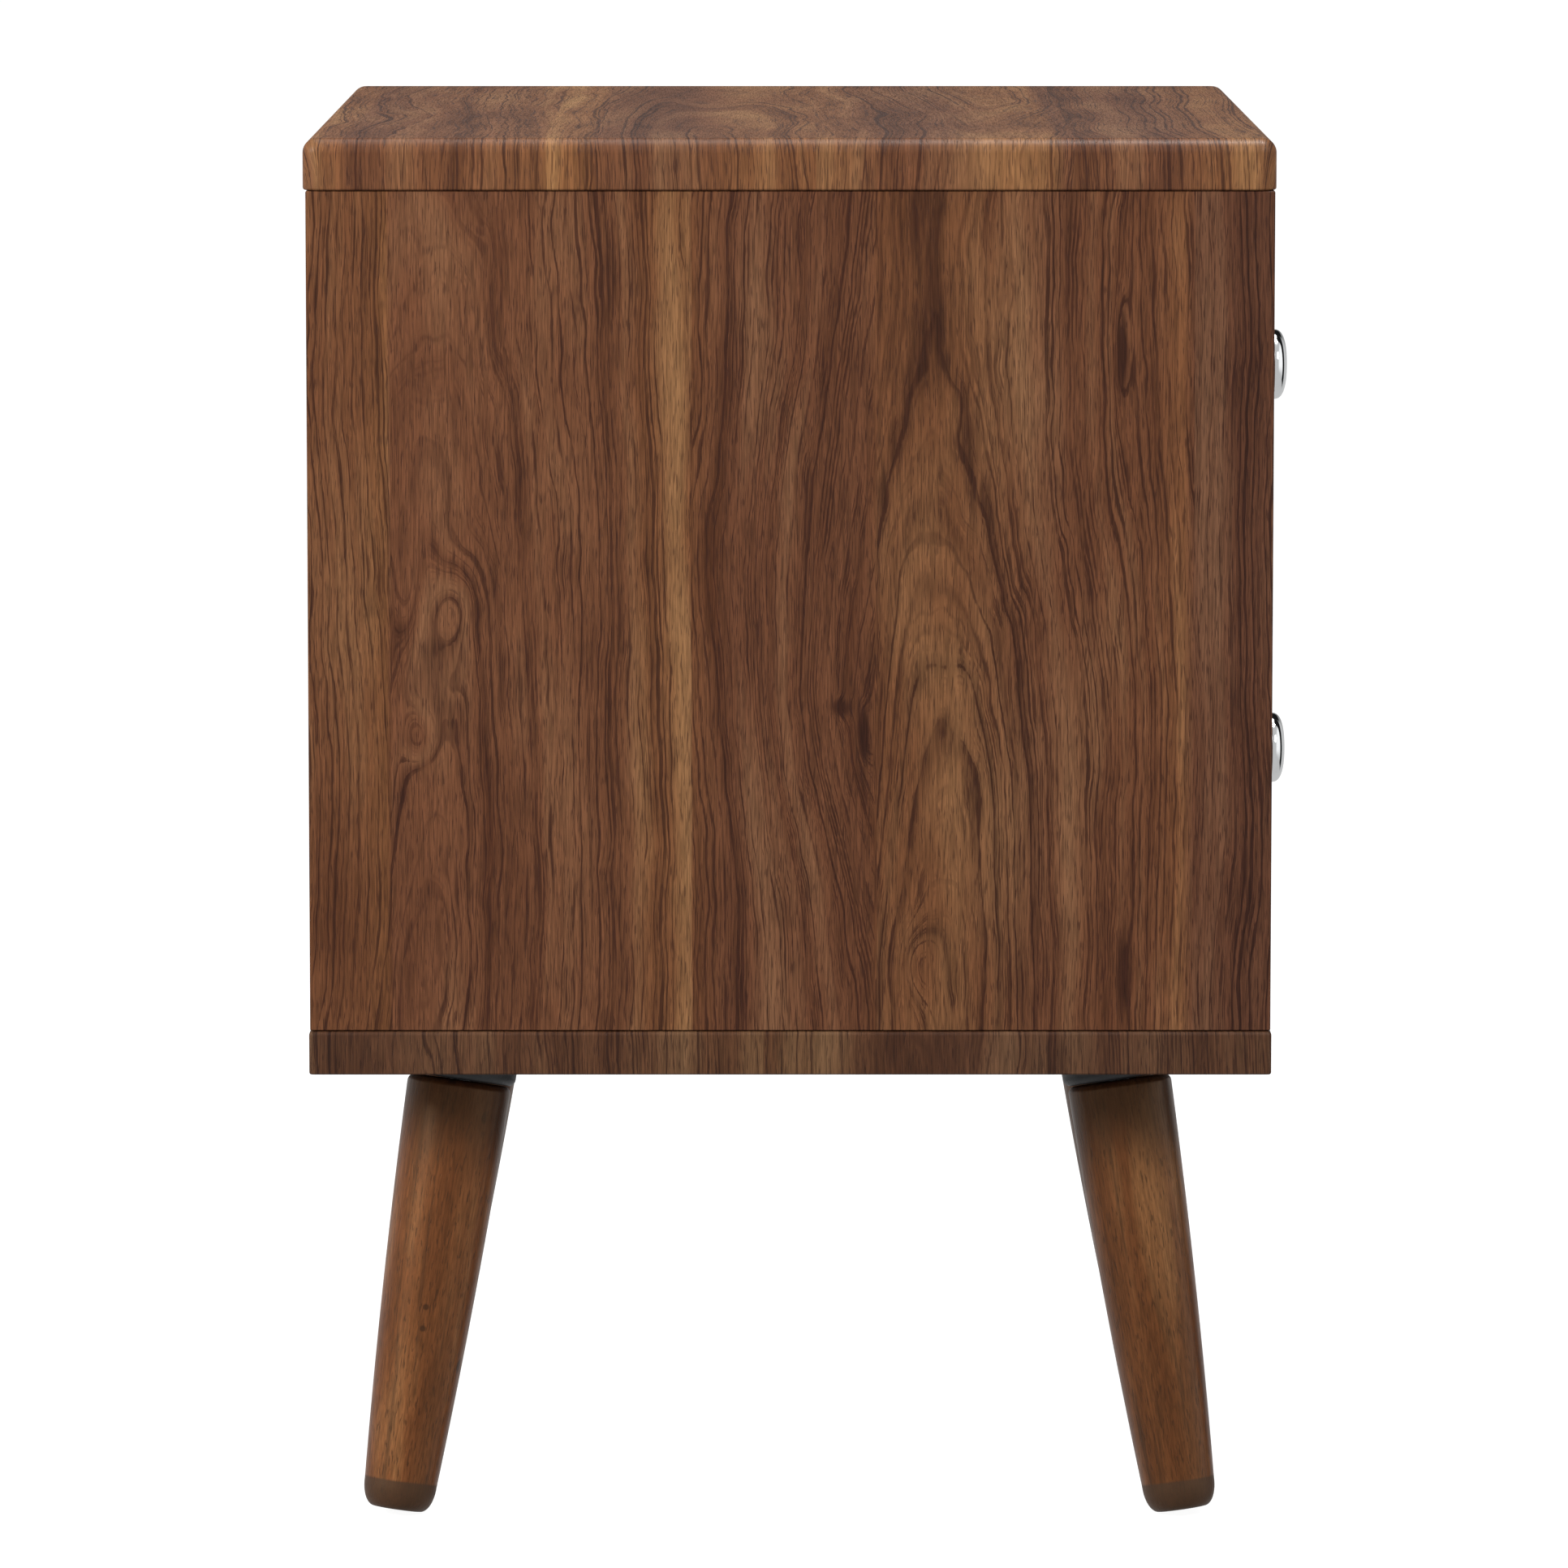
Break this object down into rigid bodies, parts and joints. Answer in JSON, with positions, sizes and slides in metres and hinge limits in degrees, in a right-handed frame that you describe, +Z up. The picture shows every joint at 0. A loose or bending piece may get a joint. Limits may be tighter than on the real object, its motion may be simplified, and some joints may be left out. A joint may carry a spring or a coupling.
{
  "type": "nightstand with drawers",
  "caption": "Walnut nightstand on splayed turned wooden legs, with inset drawers on ball-bearing slides and round chrome knobs.",
  "frame": {"origin": "on the floor, below the middle of the bounding box, knobs included", "axes": "+Z up; the drawers open towards -Y; +X to the right of someone facing the drawers"},
  "size_m": [0.47, 0.4116, 0.572],
  "materials": {
    "walnut": "satin dark walnut laminate",
    "walnut_top": "satin dark walnut laminate",
    "walnut_front": "satin dark walnut laminate",
    "leg_wood": "satin stained solid wood",
    "box_wood": "matt lacquered birch",
    "box_bottom": "matt plywood",
    "hardboard": "matt hardboard",
    "chrome": "polished chrome",
    "zinc_steel": "zinc-plated steel",
    "black_steel": "black powder coat"
  },
  "bodies": {
    "carcass": {"left_side_panel": "walnut", "right_side_panel": "walnut", "bottom_panel": "walnut", "top_panel": "walnut_top", "back_panel": "hardboard", "front_left_leg": "leg_wood", "front_left_leg_mount": "black_steel", "front_left_hanger_bolt": "zinc_steel", "front_left_mount_screw_1": "zinc_steel", "front_left_mount_screw_2": "zinc_steel", "front_left_mount_screw_3": "zinc_steel", "front_right_leg": "leg_wood", "front_right_leg_mount": "black_steel", "front_right_hanger_bolt": "zinc_steel", "front_right_mount_screw_1": "zinc_steel", "front_right_mount_screw_2": "zinc_steel", "front_right_mount_screw_3": "zinc_steel", "rear_left_leg": "leg_wood", "rear_left_leg_mount": "black_steel", "rear_left_hanger_bolt": "zinc_steel", "rear_left_mount_screw_1": "zinc_steel", "rear_left_mount_screw_2": "zinc_steel", "rear_left_mount_screw_3": "zinc_steel", "rear_right_leg": "leg_wood", "rear_right_leg_mount": "black_steel", "rear_right_hanger_bolt": "zinc_steel", "rear_right_mount_screw_1": "zinc_steel", "rear_right_mount_screw_2": "zinc_steel", "rear_right_mount_screw_3": "zinc_steel", "upper_left_slide_case_member": "zinc_steel", "upper_right_slide_case_member": "zinc_steel", "lower_left_slide_case_member": "zinc_steel", "lower_right_slide_case_member": "zinc_steel"},
    "upper_drawer": {"upper_drawer_face": "walnut_front", "upper_drawer_left_side": "box_wood", "upper_drawer_right_side": "box_wood", "upper_drawer_box_front": "box_wood", "upper_drawer_box_back": "box_wood", "upper_drawer_bottom": "box_bottom", "upper_knob": "chrome", "upper_knob_screw": "zinc_steel", "upper_left_slide_drawer_member": "zinc_steel", "upper_right_slide_drawer_member": "zinc_steel"},
    "lower_drawer": {"lower_drawer_face": "walnut_front", "lower_drawer_left_side": "box_wood", "lower_drawer_right_side": "box_wood", "lower_drawer_box_front": "box_wood", "lower_drawer_box_back": "box_wood", "lower_drawer_bottom": "box_bottom", "lower_knob": "chrome", "lower_knob_screw": "zinc_steel", "lower_left_slide_drawer_member": "zinc_steel", "lower_right_slide_drawer_member": "zinc_steel"},
    "upper_ball_cages": {"upper_left_slide_ball_cage": "zinc_steel", "upper_right_slide_ball_cage": "zinc_steel"},
    "lower_ball_cages": {"lower_left_slide_ball_cage": "zinc_steel", "lower_right_slide_ball_cage": "zinc_steel"}
  },
  "joints": [
    {"name": "upper_drawer_slide", "type": "slide", "parent": "carcass", "child": "upper_drawer", "axis": [0, -1, 0], "range_m": [0, 0.26]},
    {"name": "upper_cage_slide", "type": "slide", "parent": "carcass", "child": "upper_ball_cages", "axis": [0, -1, 0], "range_m": [0, 0.13]},
    {"name": "lower_drawer_slide", "type": "slide", "parent": "carcass", "child": "lower_drawer", "axis": [0, -1, 0], "range_m": [0, 0.26]},
    {"name": "lower_cage_slide", "type": "slide", "parent": "carcass", "child": "lower_ball_cages", "axis": [0, -1, 0], "range_m": [0, 0.13]}
  ],
  "couplings": [
    {"joint": "upper_cage_slide", "follows": "upper_drawer_slide", "ratio": 0.5},
    {"joint": "lower_cage_slide", "follows": "lower_drawer_slide", "ratio": 0.5}
  ]
}
